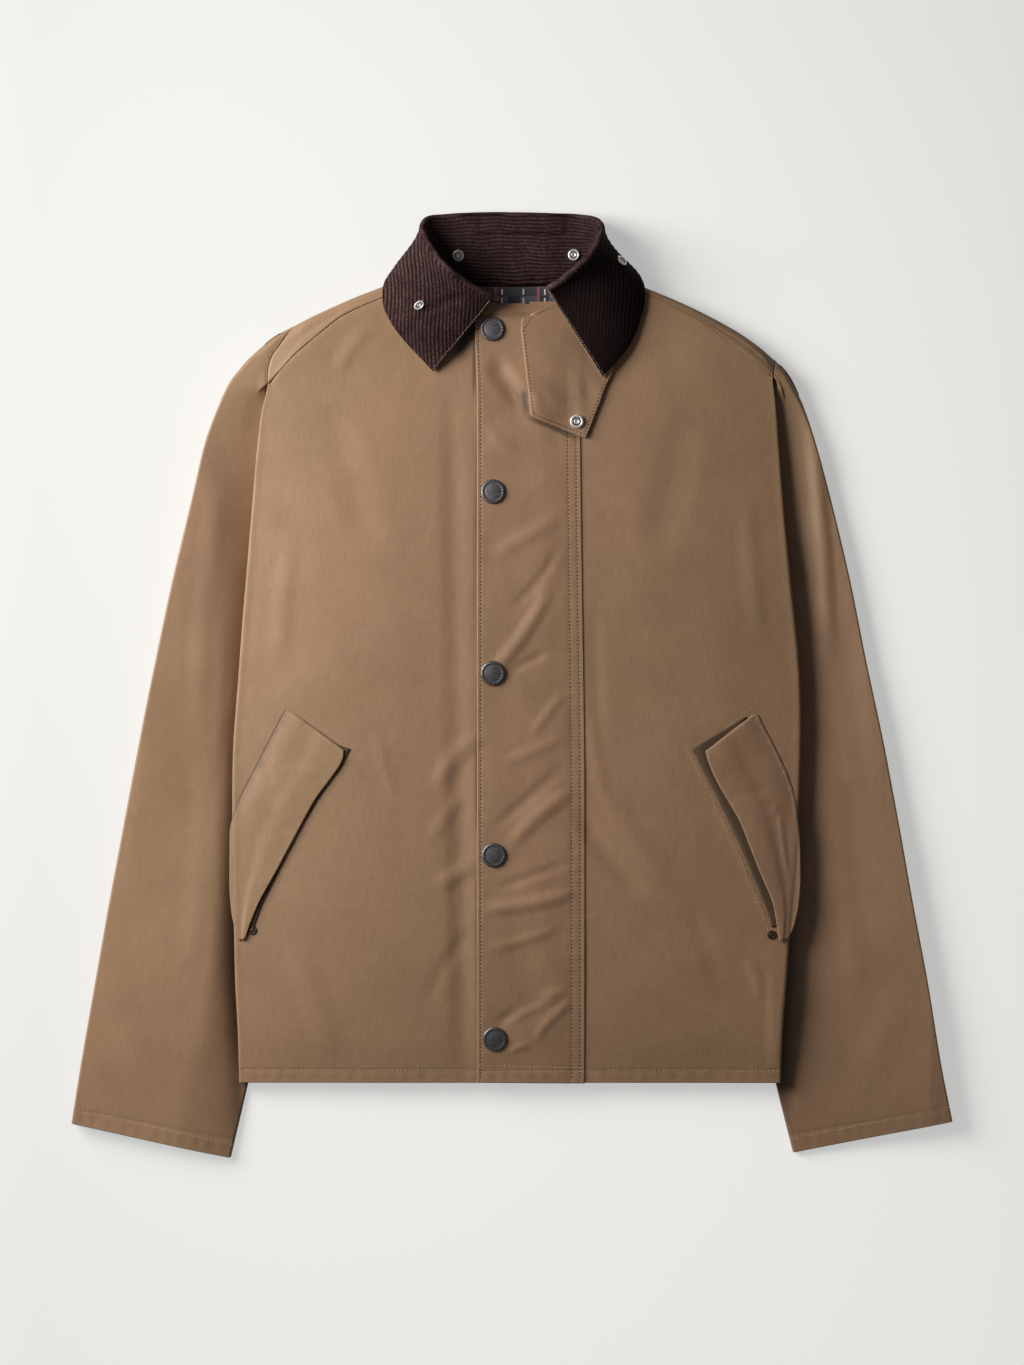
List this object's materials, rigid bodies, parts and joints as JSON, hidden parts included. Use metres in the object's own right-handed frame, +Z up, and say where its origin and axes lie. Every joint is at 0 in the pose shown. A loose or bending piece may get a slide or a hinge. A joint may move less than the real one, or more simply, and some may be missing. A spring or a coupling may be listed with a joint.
{
  "type": "waxed cotton jacket",
  "caption": "Hip-length waxed cotton jacket lying flat on its back, buttoned, with a corduroy collar, snap storm flap, throat latch and slanted hand-warmer pockets.",
  "frame": {"origin": "under the middle of the whole jacket, on the surface it lies on", "axes": "+Y from the hem to the collar, +Z up from the surface out of the jacket's front, +X to the wearer's left"},
  "size_m": [0.7408, 0.7933, 0.0537],
  "materials": {
    "back": "matt waxed cotton, slightly glossy on folds",
    "front_right": "matt waxed cotton, slightly glossy on folds",
    "front_left": "matt waxed cotton, slightly glossy on folds",
    "storm_flap": "matt waxed cotton, slightly glossy on folds",
    "sleeve_right": "matt waxed cotton, slightly glossy on folds",
    "sleeve_left": "matt waxed cotton, slightly glossy on folds",
    "collar": "matt cotton corduroy",
    "throat_latch": "matt waxed cotton, slightly glossy on folds",
    "neck_lining": "matt cotton check",
    "pocket_flap_right": "matt waxed cotton, slightly glossy on folds",
    "pocket_flap_left": "matt waxed cotton, slightly glossy on folds",
    "pocket_facing_right": "matt cotton in shadow",
    "pocket_facing_left": "matt cotton in shadow",
    "snap_1": "dark gunmetal plating",
    "snap_2": "dark gunmetal plating",
    "snap_3": "dark gunmetal plating",
    "snap_4": "dark gunmetal plating",
    "snap_5": "dark gunmetal plating",
    "latch_snap": "bright nickel plating",
    "collar_socket_right": "dark gunmetal plating",
    "collar_socket_left": "dark gunmetal plating",
    "collar_eyelet_right": "dark gunmetal plating",
    "collar_eyelet_left": "dark gunmetal plating",
    "pocket_rivet_right": "dark gunmetal plating",
    "pocket_rivet_left": "dark gunmetal plating"
  },
  "bodies": {
    "root": {"back": "back", "front_right": "front_right", "front_left": "front_left", "storm_flap": "storm_flap", "sleeve_right": "sleeve_right", "sleeve_left": "sleeve_left", "collar": "collar", "throat_latch": "throat_latch", "neck_lining": "neck_lining", "pocket_flap_right": "pocket_flap_right", "pocket_flap_left": "pocket_flap_left", "pocket_facing_right": "pocket_facing_right", "pocket_facing_left": "pocket_facing_left", "snap_1": "snap_1", "snap_2": "snap_2", "snap_3": "snap_3", "snap_4": "snap_4", "snap_5": "snap_5", "latch_snap": "latch_snap", "collar_socket_right": "collar_socket_right", "collar_socket_left": "collar_socket_left", "collar_eyelet_right": "collar_eyelet_right", "collar_eyelet_left": "collar_eyelet_left", "pocket_rivet_right": "pocket_rivet_right", "pocket_rivet_left": "pocket_rivet_left"}
  },
  "joints": []
}
